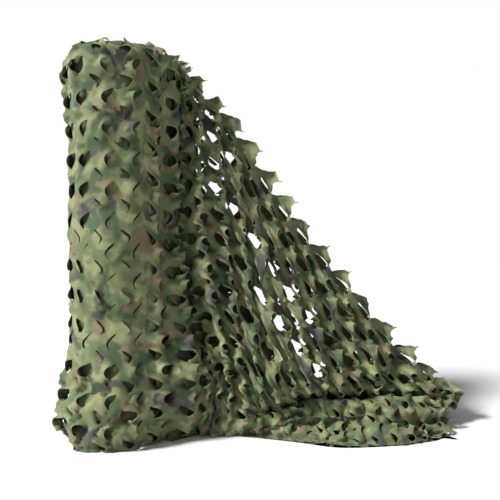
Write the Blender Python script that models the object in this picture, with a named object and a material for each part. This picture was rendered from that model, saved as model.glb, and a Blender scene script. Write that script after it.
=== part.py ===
"""Roll of leaf-cut camouflage net standing on its end, its loose end pulled out and draped to the floor.

Metres, +Z up. The origin lies on the floor, under the middle of the whole object's box. +X runs from the
roll to the tip of the loose end, and -Y is the side that the net shows its folds on. The net is one
length of cloth: the wound roll is one solid, and the length that comes off it is a cut-through sheet.
"""
import math

import bmesh
import bpy
import numpy as np

# Driving dimensions
NET_WIDTH = 1.49            # selvedge to selvedge, so the height of the roll's side
CLOTH = 0.0025              # thickness of the loose end
AIR = 0.0005                # gap between the loose end and the roll it comes off
TURN = 0.0035               # one wound turn, the step where the outer turn leaves the roll
ROLL_X = -0.5963            # the roll's axis, seen from the middle of the object's box
ROLL_Y = -0.0699
LEAVES_AT = math.radians(-50)   # where the outer turn leaves the roll, from +X towards +Y
CROWN = 0.016               # rise of the roll's top rim above its side
DISH = 0.03                 # sink of the roll's top at its middle

ROWS = 12                   # cut cells across the net's width
COLUMNS = 15                # cut cells along the loose end
SPLIT = 3                   # mesh steps to a cell, the middle one of them is the gap
GAP_SHARE = 0.30            # the middle step's share of its cell
ROLL_SIDES = 36             # mesh steps around the roll
SLANT = 0.30                # how far a gap's corners slide along the net, as a share of a mesh step
SLANT_ACROSS = 0.5          # how far they slide across it, as a share of that
SLANT_FROM = 2              # the mesh line at the roll from which gaps slant
TIGHT_BEND = 0.8            # cosine of the bend between mesh steps past which a gap keeps its corners
TOOTH = 0.040               # how far the leaf tips stand out of the cut edges
TOOTH_LEAN = 0.032          # how far the tips of the selvedge lean towards the loose end's own end
TOOTH_FROM = 6              # the mesh line at the roll from which tips stand out
EASE = 2                    # rounds of easing that open out the tightest bends
RIPPLE = 0.012              # height of the soft folds that run along the pulled selvedge
RIPPLE_PITCH = 0.21         # from one soft fold to the next
RIPPLE_FROM = (0.45, 0.25)  # where they start along the loose end, and the length they rise in
RIPPLE_FLOOR = (0.16, 0.10) # the height at which they have faded out, and the height they fade in

# Radius of the roll by height, towards four sides. The foot flares, most to the left.
ROLL_SIDE_NAMES = ("right", "back", "left", "front")
ROLL_COLUMNS = ("height",) + ROLL_SIDE_NAMES
ROLL_PROFILE = (
    (0.00, 0.186, 0.200, 0.226, 0.176),
    (0.07, 0.196, 0.216, 0.244, 0.200),
    (0.18, 0.188, 0.208, 0.212, 0.198),
    (0.32, 0.182, 0.192, 0.188, 0.188),
    (0.52, 0.178, 0.184, 0.178, 0.180),
    (0.80, 0.180, 0.184, 0.187, 0.184),
    (1.05, 0.178, 0.182, 0.175, 0.182),
    (1.25, 0.184, 0.190, 0.188, 0.190),
    (1.36, 0.190, 0.198, 0.202, 0.198),
    (1.44, 0.190, 0.198, 0.206, 0.198),
    (1.49, 0.180, 0.184, 0.190, 0.184),
)

# Slanting twists and level sags of the wound net: depth, number round the roll, radians by metre of height
# and phase.
TWIST_COLUMNS = ("depth", "round", "up", "phase")
TWISTS = (
    (0.0035, 3, 9, 0.0),
    (0.0025, 5, -14, 1.0),
    (0.0020, 2, 31, 0.0),
)
# The roll's top from its rim inwards: share of the radius, and rise above the side.
TOP_COLUMNS = ("share", "rise")
TOP = (
    (0.90, CROWN),
    (0.78, 0.6 * CROWN),
    (0.52, -0.5 * DISH),
    (0.22, -DISH),
)
# Waves around the top's rim: depth, number round the roll and phase.
TOP_WAVES = ((0.004, 5, 0.0), (0.003, 9, 1.0))

# The deep pleat beside the roll, by level from the top selvedge to the floor. The lap stands a little off
# the roll. The wrap flares below, the valley runs in behind it, and the crest comes forward again. Their
# places are from the roll's axis.
PLEAT_COLUMNS = ("lap_off", "wrap_x", "wrap_y", "valley_x", "valley_y", "crest_x", "crest_y")
PLEAT = (
    (0.020, 0.216, -0.062, 0.246, -0.005, 0.280, 0.015),
    (0.014, 0.213, -0.060, 0.240, 0.050, 0.282, 0.000),
    (0.009, 0.206, -0.062, 0.231, 0.090, 0.276, -0.025),
    (0.008, 0.206, -0.068, 0.234, 0.105, 0.280, -0.040),
    (0.014, 0.224, -0.088, 0.264, 0.105, 0.314, -0.050),
    (0.030, 0.258, -0.108, 0.315, 0.080, 0.366, -0.060),
    (0.045, 0.285, -0.104, 0.350, -0.055, 0.420, -0.050),
    (0.018, 0.240, -0.045, 0.320, 0.008, 0.396, 0.000),
)
LAP_AT = math.radians(-33)
PLEAT_TOPS = (1.490, 1.490, 1.485, 1.465, 1.430)    # top selvedge at the root, lap, wrap, valley and crest
PLEAT_ALONG = (0.0, 0.055, 0.12, 0.26, 0.39)        # their places along the loose end
PLEAT_LOW = 0.02                                    # height of the pleat's lowest level

# The drape, a row for each line down the net. It hangs from the top selvedge past a middle point to a low
# bulge, and from there the spare width is tucked under and gathered in folds on the floor.
DRAPE_COLUMNS = (
    "along", "top_x", "top_y", "top_z", "mid_x", "mid_y", "low_x", "low_y", "low_z",
    "tuck", "bed_z", "ridge_y", "ridge_z", "hem_y", "hem_z", "foot_x", "foot_y",
)
DRAPE = (
    (0.53, 0.357, 0.045, 1.345, 0.405, -0.010, 0.485, -0.066, 0.170,
     0.040, 0.080, -0.044, 0.050, -0.030, 0.010, 0.46, -0.016),
    (0.74, 0.490, 0.075, 1.170, 0.540, 0.010, 0.605, -0.064, 0.195,
     0.115, 0.001, -0.024, 0.114, -0.036, 0.004, 0.59, -0.050),
    (0.96, 0.630, 0.100, 0.960, 0.670, 0.035, 0.725, -0.040, 0.205,
     0.150, 0.001, 0.004, 0.138, -0.055, 0.036, 0.71, -0.090),
    (1.18, 0.785, 0.120, 0.770, 0.810, 0.070, 0.850, -0.002, 0.205,
     0.190, 0.001, 0.012, 0.140, -0.090, 0.062, 0.84, -0.138),
    (1.40, 0.950, 0.135, 0.570, 0.960, 0.105, 0.985, 0.042, 0.195,
     0.215, 0.001, 0.030, 0.143, -0.084, 0.066, 0.97, -0.134),
    (1.60, 1.115, 0.150, 0.375, 1.110, 0.130, 1.110, 0.075, 0.180,
     0.230, 0.001, 0.040, 0.143, -0.062, 0.066, 1.09, -0.112),
    (1.76, 1.250, 0.160, 0.255, 1.230, 0.145, 1.220, 0.100, 0.160,
     0.235, 0.001, 0.050, 0.134, -0.034, 0.060, 1.18, -0.084),
    (1.88, 1.340, 0.160, 0.178, 1.320, 0.152, 1.310, 0.114, 0.134,
     0.235, 0.001, 0.060, 0.116, -0.018, 0.046, 1.24, -0.058),
    (1.98, 1.422, 0.158, 0.124, 1.405, 0.155, 1.380, 0.124, 0.105,
     0.220, 0.001, 0.070, 0.092, 0.000, 0.030, 1.28, -0.028),
)
LEVELS = len(PLEAT)         # control points down the hanging part
FLOOR = CLOTH / 2           # height of the cloth's middle where it lies on the floor
# The floor folds, from the low bulge under and back to the bed, then forward over the ridge to the hem. The
# reaches are shares of the tuck and the drops are shares of the bulge's height over the bed.
LYING = 8                   # control points of the part that lies on the floor
UNDER_REACH, UNDER_DROP = 0.65, 0.18
BACK_DROP = 0.60
BED_REACH = 0.85
CLIMB_REACH, CLIMB_RISE = 0.45, 0.16    # shares of the way from the back to the ridge, and of its rise
DIP_FORWARD, DIP_HEIGHT = 0.004, 0.18   # the dip between ridge and hem: metres, and share of the hem's height
HEM_FORWARD = 0.006         # how far the pleat's hem runs forward onto the floor


def curve_through(knots, values, at):
    """Smooth curve through the values, whose slope at each knot follows its neighbours."""
    knots = np.asarray(knots, float)
    values = np.asarray(values, float)
    slopes = np.gradient(values, knots, axis=0)
    left = np.clip(np.searchsorted(knots, at, side="right") - 1, 0, len(knots) - 2)
    span = knots[left + 1] - knots[left]
    t = (at - knots[left]) / span
    shape = (-1,) + (1,) * (values.ndim - 1)
    t = np.reshape(t, shape)
    span = np.reshape(span, shape)
    start = (2 * t**3 - 3 * t**2 + 1) * values[left] + (t**3 - 2 * t**2 + t) * span * slopes[left]
    end = (3 * t**2 - 2 * t**3) * values[left + 1] + (t**3 - t**2) * span * slopes[left + 1]
    return start + end


def pick(table, names, *chosen):
    """The chosen columns of a table, as an array."""
    return np.array(table)[:, [names.index(name) for name in chosen]]


def roll_radius(angle, height):
    """Radius of the wound net before its spiral step, with its soft lumps and slanting twists."""
    knots = pick(ROLL_PROFILE, ROLL_COLUMNS, "height")[:, 0]
    sides = curve_through(knots, pick(ROLL_PROFILE, ROLL_COLUMNS, *ROLL_SIDE_NAMES), np.atleast_1d(height))
    quarter = (np.atleast_1d(angle) / (math.pi / 2)) % 4
    first = quarter.astype(int) % 4
    blend = 0.5 - 0.5 * np.cos(math.pi * (quarter - np.floor(quarter)))
    rows = np.arange(len(sides))
    radius = sides[rows, first] * (1 - blend) + sides[rows, (first + 1) % 4] * blend
    for row in TWISTS:
        twist = dict(zip(TWIST_COLUMNS, row))
        turn = twist["round"] * angle + twist["up"] * height + twist["phase"]
        radius = radius + twist["depth"] * np.sin(turn)
    return radius


def pleat_lines():
    """Control points of the five lines beside the roll, from the top selvedge to the floor."""
    share = np.linspace(0, 1, LEVELS)
    lap_off = pick(PLEAT, PLEAT_COLUMNS, "lap_off")[:, 0]
    lines = []
    for name, top in zip(("root", "lap", "wrap", "valley", "crest"), PLEAT_TOPS):
        low = FLOOR if name == "root" else PLEAT_LOW
        height = top + (low - top) * share
        if name in ("root", "lap"):
            angle = LEAVES_AT if name == "root" else LAP_AT
            off = AIR + CLOTH / 2 if name == "root" else lap_off
            radius = roll_radius(np.full(LEVELS, angle), height) + off
            place = np.stack([radius * math.cos(angle), radius * math.sin(angle)], axis=1)
        else:
            place = pick(PLEAT, PLEAT_COLUMNS, name + "_x", name + "_y")
        hang = np.column_stack([place, height])
        # The floor's control points close up into the hem, which just meets the floor.
        step = np.linspace(0, 1, LYING)[:, None]
        hem = hang[-1] + step * np.array([0.0, -HEM_FORWARD, FLOOR - hang[-1, 2]])
        lines.append(np.vstack([hang, hem]))
    return lines


def drape_line(row):
    """Control points of one line down the drape: hanging part, low bulge, tuck, ridge and hem."""
    share = np.linspace(0, 1, LEVELS)[:, None]
    top = np.array([row["top_x"], row["top_y"], row["top_z"]])
    low = np.array([row["low_x"], row["low_y"], row["low_z"]])
    middle = np.array([row["mid_x"], row["mid_y"], (row["top_z"] + row["low_z"]) / 2])
    hang = (1 - share) * (1 - 2 * share) * top + 4 * share * (1 - share) * middle
    hang = hang + share * (2 * share - 1) * low
    drift = (row["foot_x"] - row["low_x"]) / (LYING - 1)
    drop = row["low_z"] - row["bed_z"]
    back_y = row["low_y"] + row["tuck"]
    floor = (
        (row["low_y"] + UNDER_REACH * row["tuck"], row["low_z"] - UNDER_DROP * drop),
        (back_y, row["low_z"] - BACK_DROP * drop),
        (row["low_y"] + BED_REACH * row["tuck"], row["bed_z"]),
        (row["ridge_y"] + CLIMB_REACH * (back_y - row["ridge_y"]),
         (1 - CLIMB_RISE) * row["bed_z"] + CLIMB_RISE * row["ridge_z"]),
        (row["ridge_y"], row["ridge_z"]),
        ((row["ridge_y"] + row["hem_y"]) / 2 - DIP_FORWARD, DIP_HEIGHT * row["hem_z"]),
        (row["hem_y"], row["hem_z"]),
        (row["foot_y"], 0.0),
    )
    lying = [(row["low_x"] + drift * number, y, max(z, FLOOR)) for number, (y, z) in enumerate(floor)]
    return np.vstack([hang, lying])


def net_surface(along, across):
    """Middle surface of the loose end: along the net from the roll, across it from the top selvedge."""
    rows = [dict(zip(DRAPE_COLUMNS, values)) for values in DRAPE]
    lines = np.array(pleat_lines() + [drape_line(row) for row in rows])
    places = np.array(PLEAT_ALONG + tuple(row["along"] for row in rows))
    sections = curve_through(places, lines, along)
    surface = np.empty((len(along), len(across), 3))
    for number, section in enumerate(sections):
        chord = np.linalg.norm(np.diff(section, axis=0), axis=1)
        knots = np.concatenate([[0], np.cumsum(np.sqrt(np.maximum(chord, 1e-4)))])
        fine = curve_through(knots, section, np.linspace(0, knots[-1], 400))
        length = np.concatenate([[0], np.cumsum(np.linalg.norm(np.diff(fine, axis=0), axis=1))])
        for axis in range(3):
            surface[number, :, axis] = np.interp(across * length[-1], length, fine[:, axis])
    return surface


def surface_normals(surface):
    """Unit normals of a grid of points, towards the side that faces the room."""
    down = np.gradient(surface, axis=1)
    out = np.gradient(surface, axis=0)
    normal = np.cross(down, out)
    return normal / np.maximum(np.linalg.norm(normal, axis=2, keepdims=True), 1e-9)


def cell_lines(cells):
    """Mesh lines from 0 to 1: each cell has a wide step, the gap's step and a wide step."""
    edge = (1 - GAP_SHARE) / 2
    lines = [(cell + place) / cells for cell in range(cells) for place in (0, edge, 1 - edge)]
    return np.array(lines + [1.0])


def loose_end_points():
    """Grid of the loose end with its soft folds, slanted gaps and leaf-tipped edges."""
    along = cell_lines(COLUMNS) * DRAPE[-1][0]
    across = cell_lines(ROWS)
    grid = net_surface(along, across)
    for _ in range(EASE):
        grid[1:-1, 1:-1] = 0.5 * grid[1:-1, 1:-1] + 0.25 * (grid[1:-1, :-2] + grid[1:-1, 2:])
        grid[1:-1, 1:-1] = 0.5 * grid[1:-1, 1:-1] + 0.25 * (grid[:-2, 1:-1] + grid[2:, 1:-1])
    normal = surface_normals(grid)

    # Soft folds run along the pulled selvedge. They fade out at the roll and near the floor.
    depth = across[None, :] * NET_WIDTH
    fade = np.clip((along[:, None] - RIPPLE_FROM[0]) / RIPPLE_FROM[1], 0, 1)
    fade = fade * np.clip((grid[:, :, 2] - RIPPLE_FLOOR[0]) / RIPPLE_FLOOR[1], 0, 1)
    sway = 0.8 * np.sin(3.1 * along[:, None])
    wave = np.sin(2 * math.pi * depth / RIPPLE_PITCH + sway)
    grid = grid + normal * (RIPPLE * fade * wave)[:, :, None]

    # Each gap is a leaf-shaped slot: its corners slide along the net, the other way in every second row.
    step_along = np.gradient(grid, axis=0)
    step_across = np.gradient(grid, axis=1)
    i, j = np.meshgrid(np.arange(grid.shape[0]), np.arange(grid.shape[1]), indexing="ij")
    lean = np.where((j // SPLIT) % 2 == 0, 1.0, -1.0)
    corner_down = np.where(j % SPLIT == 1, -1.0, 1.0) * ((i % SPLIT) > 0) * ((j % SPLIT) > 0)
    side = np.where(i % SPLIT == 1, -1.0, 1.0)
    # A gap in a tight fold keeps its corners in place.
    before = np.roll(normal, 1, axis=1)
    after = np.roll(normal, -1, axis=1)
    calm = np.clip(((before * after).sum(axis=2) - TIGHT_BEND) / (1 - TIGHT_BEND), 0, 1)
    slide = SLANT * lean * corner_down * calm * (i > SLANT_FROM)
    rise = -SLANT_ACROSS * side * slide
    moved = grid + step_along * slide[:, :, None] + step_across * rise[:, :, None]

    # Leaf tips along the top selvedge and the cut end.
    tip = ((i % SPLIT) == 2) & (j == 0) & (i > TOOTH_FROM)
    outward = -step_across / np.linalg.norm(step_across, axis=2, keepdims=True)
    onward = step_along / np.linalg.norm(step_along, axis=2, keepdims=True)
    moved[tip] += TOOTH * outward[tip] + TOOTH_LEAN * onward[tip]
    end_tip = ((j % SPLIT) == 1) & (i == grid.shape[0] - 1)
    moved[end_tip] += TOOTH * onward[end_tip]

    # The first line is the roll's own line, so the two meet evenly all the way down.
    height = NET_WIDTH * (1 - across)
    radius = roll_radius(np.full(len(height), LEAVES_AT), height) + AIR + CLOTH / 2
    shift = 3 * AIR * np.array([-math.sin(LEAVES_AT), math.cos(LEAVES_AT)])
    moved[0, :, 0] = radius * math.cos(LEAVES_AT) + shift[0]
    moved[0, :, 1] = radius * math.sin(LEAVES_AT) + shift[1]
    moved[0, :, 2] = height
    moved[:, :, 2] = np.maximum(moved[:, :, 2], FLOOR)
    return moved + np.array([ROLL_X, ROLL_Y, 0])


def cloth_material(name, colour):
    """Matt dyed cloth."""
    material = bpy.data.materials.new(name)
    material.use_nodes = True
    shader = material.node_tree.nodes["Principled BSDF"]
    shader.inputs["Base Color"].default_value = (*colour, 1)
    shader.inputs["Roughness"].default_value = 0.85
    shader.inputs["Metallic"].default_value = 0.0
    return material


def add_object(name, mesh, material):
    """Link a mesh as a named, smooth-shaded object."""
    item = bpy.data.objects.new(name, mesh)
    bpy.context.scene.collection.objects.link(item)
    mesh.materials.append(material)
    mesh.shade_smooth()
    mesh.set_sharp_from_angle(angle=math.radians(50))
    return item


def make_roll():
    """The wound net: a spiral-stepped side, a flat foot and a dished top inside its rim."""
    heights = NET_WIDTH * cell_lines(ROWS)
    turns = np.linspace(0, 2 * math.pi, ROLL_SIDES + 1)
    shape = bmesh.new()
    side = []
    for height in heights:
        ring = []
        for turn in turns:
            angle = LEAVES_AT + turn
            radius = float(roll_radius(np.array([angle]), np.array([height]))[0])
            radius += TURN * turn / (2 * math.pi)
            place = (ROLL_X + radius * math.cos(angle), ROLL_Y + radius * math.sin(angle), height)
            ring.append(shape.verts.new(place))
        side.append(ring)
    for lower, upper in zip(side, side[1:]):
        for number in range(ROLL_SIDES + 1):
            after = (number + 1) % (ROLL_SIDES + 1)
            shape.faces.new((lower[number], lower[after], upper[after], upper[number]))
    shape.faces.new(side[0][::-1])

    # The top: the rim rolls over and the wound turns sink towards the middle.
    outer = side[-1]
    above = []
    for row in TOP:
        level = dict(zip(TOP_COLUMNS, row))
        ring = []
        for number in range(ROLL_SIDES):
            x = ROLL_X + (outer[number].co.x - ROLL_X) * level["share"]
            y = ROLL_Y + (outer[number].co.y - ROLL_Y) * level["share"]
            wave = sum(depth * math.sin(around * turns[number] + phase) for depth, around, phase in TOP_WAVES)
            ring.append(shape.verts.new((x, y, NET_WIDTH + level["rise"] + wave * level["share"])))
        above.append(ring)
    for number in range(ROLL_SIDES):
        after = (number + 1) % ROLL_SIDES
        shape.faces.new((outer[number], outer[number + 1], above[0][after], above[0][number]))
    shape.faces.new((outer[ROLL_SIDES], outer[0], above[0][0]))    # the spiral step
    for lower, upper in zip(above, above[1:]):
        for number in range(ROLL_SIDES):
            after = (number + 1) % ROLL_SIDES
            shape.faces.new((lower[number], lower[after], upper[after], upper[number]))
    shape.faces.new(above[-1])
    mesh = bpy.data.meshes.new("net_roll")
    shape.to_mesh(mesh)
    shape.free()
    return add_object("net_roll", mesh, cloth_material("rolled_net_cloth", (0.13, 0.17, 0.07)))


def make_loose_end():
    """The length that comes off the roll: one cut-through sheet, given its thickness both ways."""
    points = loose_end_points()
    count_along, count_across = points.shape[:2]
    shape = bmesh.new()
    grid = [[shape.verts.new(points[i, j]) for j in range(count_across)] for i in range(count_along)]
    for i in range(count_along - 1):
        for j in range(count_across - 1):
            gap = i % SPLIT == 1 and j % SPLIT == 1
            if not gap:
                shape.faces.new((grid[i][j], grid[i][j + 1], grid[i + 1][j + 1], grid[i + 1][j]))
    mesh = bpy.data.meshes.new("net_loose_end")
    shape.to_mesh(mesh)
    shape.free()
    item = add_object("net_loose_end", mesh, cloth_material("draped_net_cloth", (0.11, 0.16, 0.06)))
    wall = item.modifiers.new("thickness", "SOLIDIFY")
    wall.thickness = CLOTH
    wall.offset = 0.0
    wall.use_even_offset = False

    # The thick sheet's underside lies flat on the floor.
    thick = bpy.data.meshes.new_from_object(item.evaluated_get(bpy.context.evaluated_depsgraph_get()))
    item.modifiers.remove(wall)
    for vertex in thick.vertices:
        vertex.co.z = max(vertex.co.z, 0.0)
    item.data = thick
    thick.name = "net_loose_end"
    return item


for old in list(bpy.data.objects):
    bpy.data.objects.remove(old, do_unlink=True)
make_roll()
make_loose_end()
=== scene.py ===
import math

import bpy
import numpy as np
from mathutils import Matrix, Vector, noise
from mathutils.geometry import delaunay_2d_cdt


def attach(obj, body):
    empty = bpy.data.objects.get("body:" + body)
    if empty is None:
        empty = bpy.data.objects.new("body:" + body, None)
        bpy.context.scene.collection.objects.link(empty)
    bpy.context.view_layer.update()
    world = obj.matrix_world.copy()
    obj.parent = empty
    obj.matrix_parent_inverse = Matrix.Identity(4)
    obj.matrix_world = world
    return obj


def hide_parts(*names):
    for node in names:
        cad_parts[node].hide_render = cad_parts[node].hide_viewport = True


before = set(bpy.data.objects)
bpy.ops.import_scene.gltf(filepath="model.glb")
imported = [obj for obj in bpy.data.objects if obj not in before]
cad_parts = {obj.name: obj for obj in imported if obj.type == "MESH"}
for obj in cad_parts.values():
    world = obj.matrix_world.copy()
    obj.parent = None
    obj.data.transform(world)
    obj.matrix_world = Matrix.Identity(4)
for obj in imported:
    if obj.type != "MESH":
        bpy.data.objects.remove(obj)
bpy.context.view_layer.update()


# The net cloth. It is one length of dyed polyester, 1.49 m from selvedge to selvedge, with a die-cut row of
# chevron slits every 96 mm along it. In each row a cut that points left and one that points right take
# turns. Pulled lengthwise, each cut opens round a leaf-shaped tongue. All pieces are laid out from one cell.
NET_WIDTH = 1.49
PITCH = 0.096                  # one cell along the net
CELL_ROWS = 14
DROP = NET_WIDTH / CELL_ROWS   # one cell across it
THICKNESS = 0.0009
LYING = 0.0015                 # height of the lowest points, which lie on the floor
LEAF_REACH = 0.038             # how far from a cut its leaf bends
CUT_HAIR = 0.0015              # half the opening of a flat cut
BEND_IN, BEND_OUT = 0.34, 0.62   # share of each arm of a cut that its rounded corner takes
CUT_LENGTH = 0.12              # the length by which a cut gets its points
CUT_POINTS = 13                # points on a cut that is only measured from
EDGE_DENSITY = 1.1             # points on a cell's edges stand this much closer than inside it
# The points inside a cell lie on a triangle grid. In steps: its rows, how far a point may be off it, and
# the room it leaves beside the cell's edges and beside the cuts.
GRID_ROWS, GRID_JITTER, EDGE_ROOM, CUT_ROOM = 0.87, 0.09, 0.57, 0.6
# Ends and corner of the two cuts of a cell, from the cell's top left corner, and +1 for a tongue that
# points left or -1 for one that points right.
CUTS = (
    ((0.087, -0.011), (0.048, 0.030), (0.063, 0.052), 1.0),
    ((0.008, 0.049), (0.048, 0.083), (0.030, 0.102), -1.0),
)


def lengths_along(line):
    """Length along a line up to each of its points."""
    return np.concatenate([[0], np.cumsum(np.linalg.norm(np.diff(line, axis=0), axis=1))])


def cut_line(start, corner, end, count):
    """Even points along one cut, whose corner is rounded."""
    start, corner, end = (np.array(point) for point in (start, corner, end))
    bend_in = corner + (start - corner) * BEND_IN
    bend_out = corner + (end - corner) * BEND_OUT
    share = np.linspace(0, 1, 9)[:, None]
    bend = (1 - share)**2 * bend_in + 2 * share * (1 - share) * corner + share**2 * bend_out
    line = np.vstack([start, bend, end])
    length = lengths_along(line)
    even = np.linspace(0, length[-1], count)
    return np.stack([np.interp(even, length, line[:, axis]) for axis in (0, 1)], axis=1)


def nearest_on(line, points):
    """Distance to a cut, place along it from 0 to 1, and side, for each point."""
    start, step = line[:-1], np.diff(line, axis=0)
    offset = points[:, None, :] - start[None]
    along = np.clip((offset * step).sum(2) / (step * step).sum(1), 0, 1)
    gap = offset - along[:, :, None] * step
    distance = np.linalg.norm(gap, axis=2)
    best = distance.argmin(1)
    rows = np.arange(len(points))
    side = step[best, 0] * gap[rows, best, 1] - step[best, 1] * gap[rows, best, 0]
    return distance[rows, best], (best + along[rows, best]) / len(step), np.sign(side)


def keep_faces(faces):
    """The points that some faces use, and these faces by their points' new numbers."""
    used = np.unique(np.concatenate(faces))
    renamed = np.zeros(used[-1] + 1, int)
    renamed[used] = np.arange(len(used))
    return used, [tuple(renamed[list(face)].tolist()) for face in faces]


def new_object(name, data):
    """An object in the scene with the given mesh, lamp or camera."""
    item = bpy.data.objects.new(name, data)
    bpy.context.scene.collection.objects.link(item)
    return item


def make_cut_cell(name, step):
    """One flat cell of the net as a mesh with points a step apart. Its cuts are open by a hair, and each
    point knows its nearest cut: the side and nearness, the place along it and which way its leaf points."""
    right, down = round(EDGE_DENSITY * PITCH / step), round(EDGE_DENSITY * DROP / step)
    lines = []
    for start, corner, end, _ in CUTS:
        for up in (-DROP, 0, DROP):
            line = cut_line(start, corner, end, round(CUT_LENGTH / step)) + (0, up)
            if line[:, 1].max() > 0 and line[:, 1].min() < DROP:
                lines.append(line)
    points = [(x * PITCH / right, y) for y in (0, DROP) for x in range(right + 1)]
    points += [(x, y * DROP / down) for x in (0, PITCH) for y in range(1, down)]
    edges = []
    for first in (0, right + 1):
        edges += [(first + x, first + x + 1) for x in range(right)]
    for side, (top, foot) in enumerate(((0, right + 1), (right, 2 * right + 1))):
        first = 2 * (right + 1) + side * (down - 1)
        chain = [top] + list(range(first, first + down - 1)) + [foot]
        edges += list(zip(chain, chain[1:]))
    slits = []
    for line in lines:
        slope = np.gradient(line, axis=0)
        out = np.stack([-slope[:, 1], slope[:, 0]], 1) / np.linalg.norm(slope, axis=1, keepdims=True)
        one = line + CUT_HAIR * out
        other = line - CUT_HAIR * out
        ring = np.vstack([line[:1], one[1:-1], line[-1:], other[-2:0:-1]])
        slits.append(ring)
        first = len(points)
        points += [tuple(point) for point in ring]
        count = len(ring)
        edges += [(first + number, first + (number + 1) % count) for number in range(count)]
    chance = np.random.default_rng(7)
    for row in range(1, int(DROP / (step * GRID_ROWS)) + 1):
        for column in range(int(PITCH / step) + 1):
            place = np.array([(column + 0.5 * (row % 2)) * step, row * step * GRID_ROWS])
            place += chance.uniform(-GRID_JITTER, GRID_JITTER, 2) * step
            inside = min(place[0], PITCH - place[0], place[1], DROP - place[1]) > EDGE_ROOM * step
            if inside and all(nearest_on(line, place[None])[0][0] > CUT_ROOM * step for line in lines):
                points.append(tuple(place))
    found = delaunay_2d_cdt([Vector(point) for point in points], edges, [], 0, 1e-7)
    flat = np.array([tuple(point) for point in found[0]])
    faces = []
    for face in found[2]:
        middle = flat[list(face)].mean(0)
        if min(middle[0], PITCH - middle[0], middle[1], DROP - middle[1]) <= 0:
            continue
        cut_away = False
        for ring in slits:
            ahead = np.roll(ring, -1, axis=0)
            crosses = (ring[:, 1] > middle[1]) != (ahead[:, 1] > middle[1])
            run = ring[:, 0] + (middle[1] - ring[:, 1]) / (ahead[:, 1] - ring[:, 1] + 1e-15) * (
                ahead[:, 0] - ring[:, 0])
            cut_away ^= bool((crosses & (middle[0] < run)).sum() % 2)
        if not cut_away:
            faces.append(face)
    used, faces = keep_faces(faces)
    flat = flat[used]
    mesh = bpy.data.meshes.new(name)
    mesh.from_pydata([(*point, 0) for point in flat], [], faces)

    # Each point bends with its nearest cut, also one of a neighbouring cell.
    best = np.full(len(flat), 1.0)
    bend = np.zeros((5, len(flat)))
    for start, corner, end, kind in CUTS:
        for beside in (-PITCH, 0, PITCH):
            for up in (-DROP, 0, DROP):
                line = cut_line(start, corner, end, CUT_POINTS) + (beside, up)
                distance, at, sign = nearest_on(line, flat)
                near = distance < best
                best[near] = distance[near]
                bend[:, near] = np.stack([
                    sign * kind * np.clip(1 - distance / LEAF_REACH, 0, 1), at, np.full(len(flat), kind),
                    corner[0] + beside - flat[:, 0], corner[1] + up - flat[:, 1]])[:, near]
    for title, values in zip(("cut_side", "cut_place", "cut_kind", "corner_right", "corner_down"), bend):
        mesh.attributes.new(title, "FLOAT", "POINT").data.foreach_set("value", values)
    return new_object(name, mesh)


def set_inputs(tree, node, inputs):
    """Sets a node's inputs to the given values, or links them to the given outputs."""
    for name, value in inputs.items():
        if isinstance(value, bpy.types.NodeSocket):
            tree.links.new(value, node.inputs[name])
        else:
            node.inputs[name].default_value = value
    return node


def new_node(tree, kind, inputs, **settings):
    """A new node with its settings and inputs."""
    node = tree.nodes.new(kind)
    for name, value in settings.items():
        setattr(node, name, value)
    return set_inputs(tree, node, inputs)


def make_laying_tree():
    """Node tree that lays cells side by side in columns and rows and joins them to one cloth."""
    tree = bpy.data.node_groups.new("lay_cut_cells", "GeometryNodeTree")
    sockets = {}
    tree.interface.new_socket("Geometry", in_out="INPUT", socket_type="NodeSocketGeometry")
    for name, kind in (("Cell", "NodeSocketObject"), ("Columns", "NodeSocketInt"), ("Rows", "NodeSocketInt"),
                       ("Pitch along", "NodeSocketFloat"), ("Pitch across", "NodeSocketFloat"),
                       ("Cloth", "NodeSocketMaterial")):
        sockets[name] = tree.interface.new_socket(name, in_out="INPUT", socket_type=kind).identifier
    tree.interface.new_socket("Geometry", in_out="OUTPUT", socket_type="NodeSocketGeometry")
    given = new_node(tree, "NodeGroupInput", {}).outputs
    sizes = []
    for count, pitch in (("Columns", "Pitch along"), ("Rows", "Pitch across")):
        fewer = new_node(tree, "ShaderNodeMath", {0: given[count], 1: 1}, operation="SUBTRACT")
        span = new_node(tree, "ShaderNodeMath", {0: fewer.outputs[0], 1: given[pitch]}, operation="MULTIPLY")
        sizes.append(span.outputs[0])
    lattice = new_node(tree, "GeometryNodeMeshGrid", {
        "Vertices X": given["Columns"], "Vertices Y": given["Rows"], "Size X": sizes[0], "Size Y": sizes[1]})
    cell = new_node(tree, "GeometryNodeObjectInfo", {"Object": given["Cell"]})
    lay = new_node(tree, "GeometryNodeInstanceOnPoints", {
        "Points": lattice.outputs["Mesh"], "Instance": cell.outputs["Geometry"]})
    realize = new_node(tree, "GeometryNodeRealizeInstances", {"Geometry": lay.outputs["Instances"]})
    join = new_node(tree, "GeometryNodeMergeByDistance", {
        "Geometry": realize.outputs["Geometry"], "Distance": 0.0001})
    paint = new_node(tree, "GeometryNodeSetMaterial", {
        "Geometry": join.outputs["Geometry"], "Material": given["Cloth"]})
    new_node(tree, "NodeGroupOutput", {"Geometry": paint.outputs["Geometry"]})
    return tree, sockets


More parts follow.
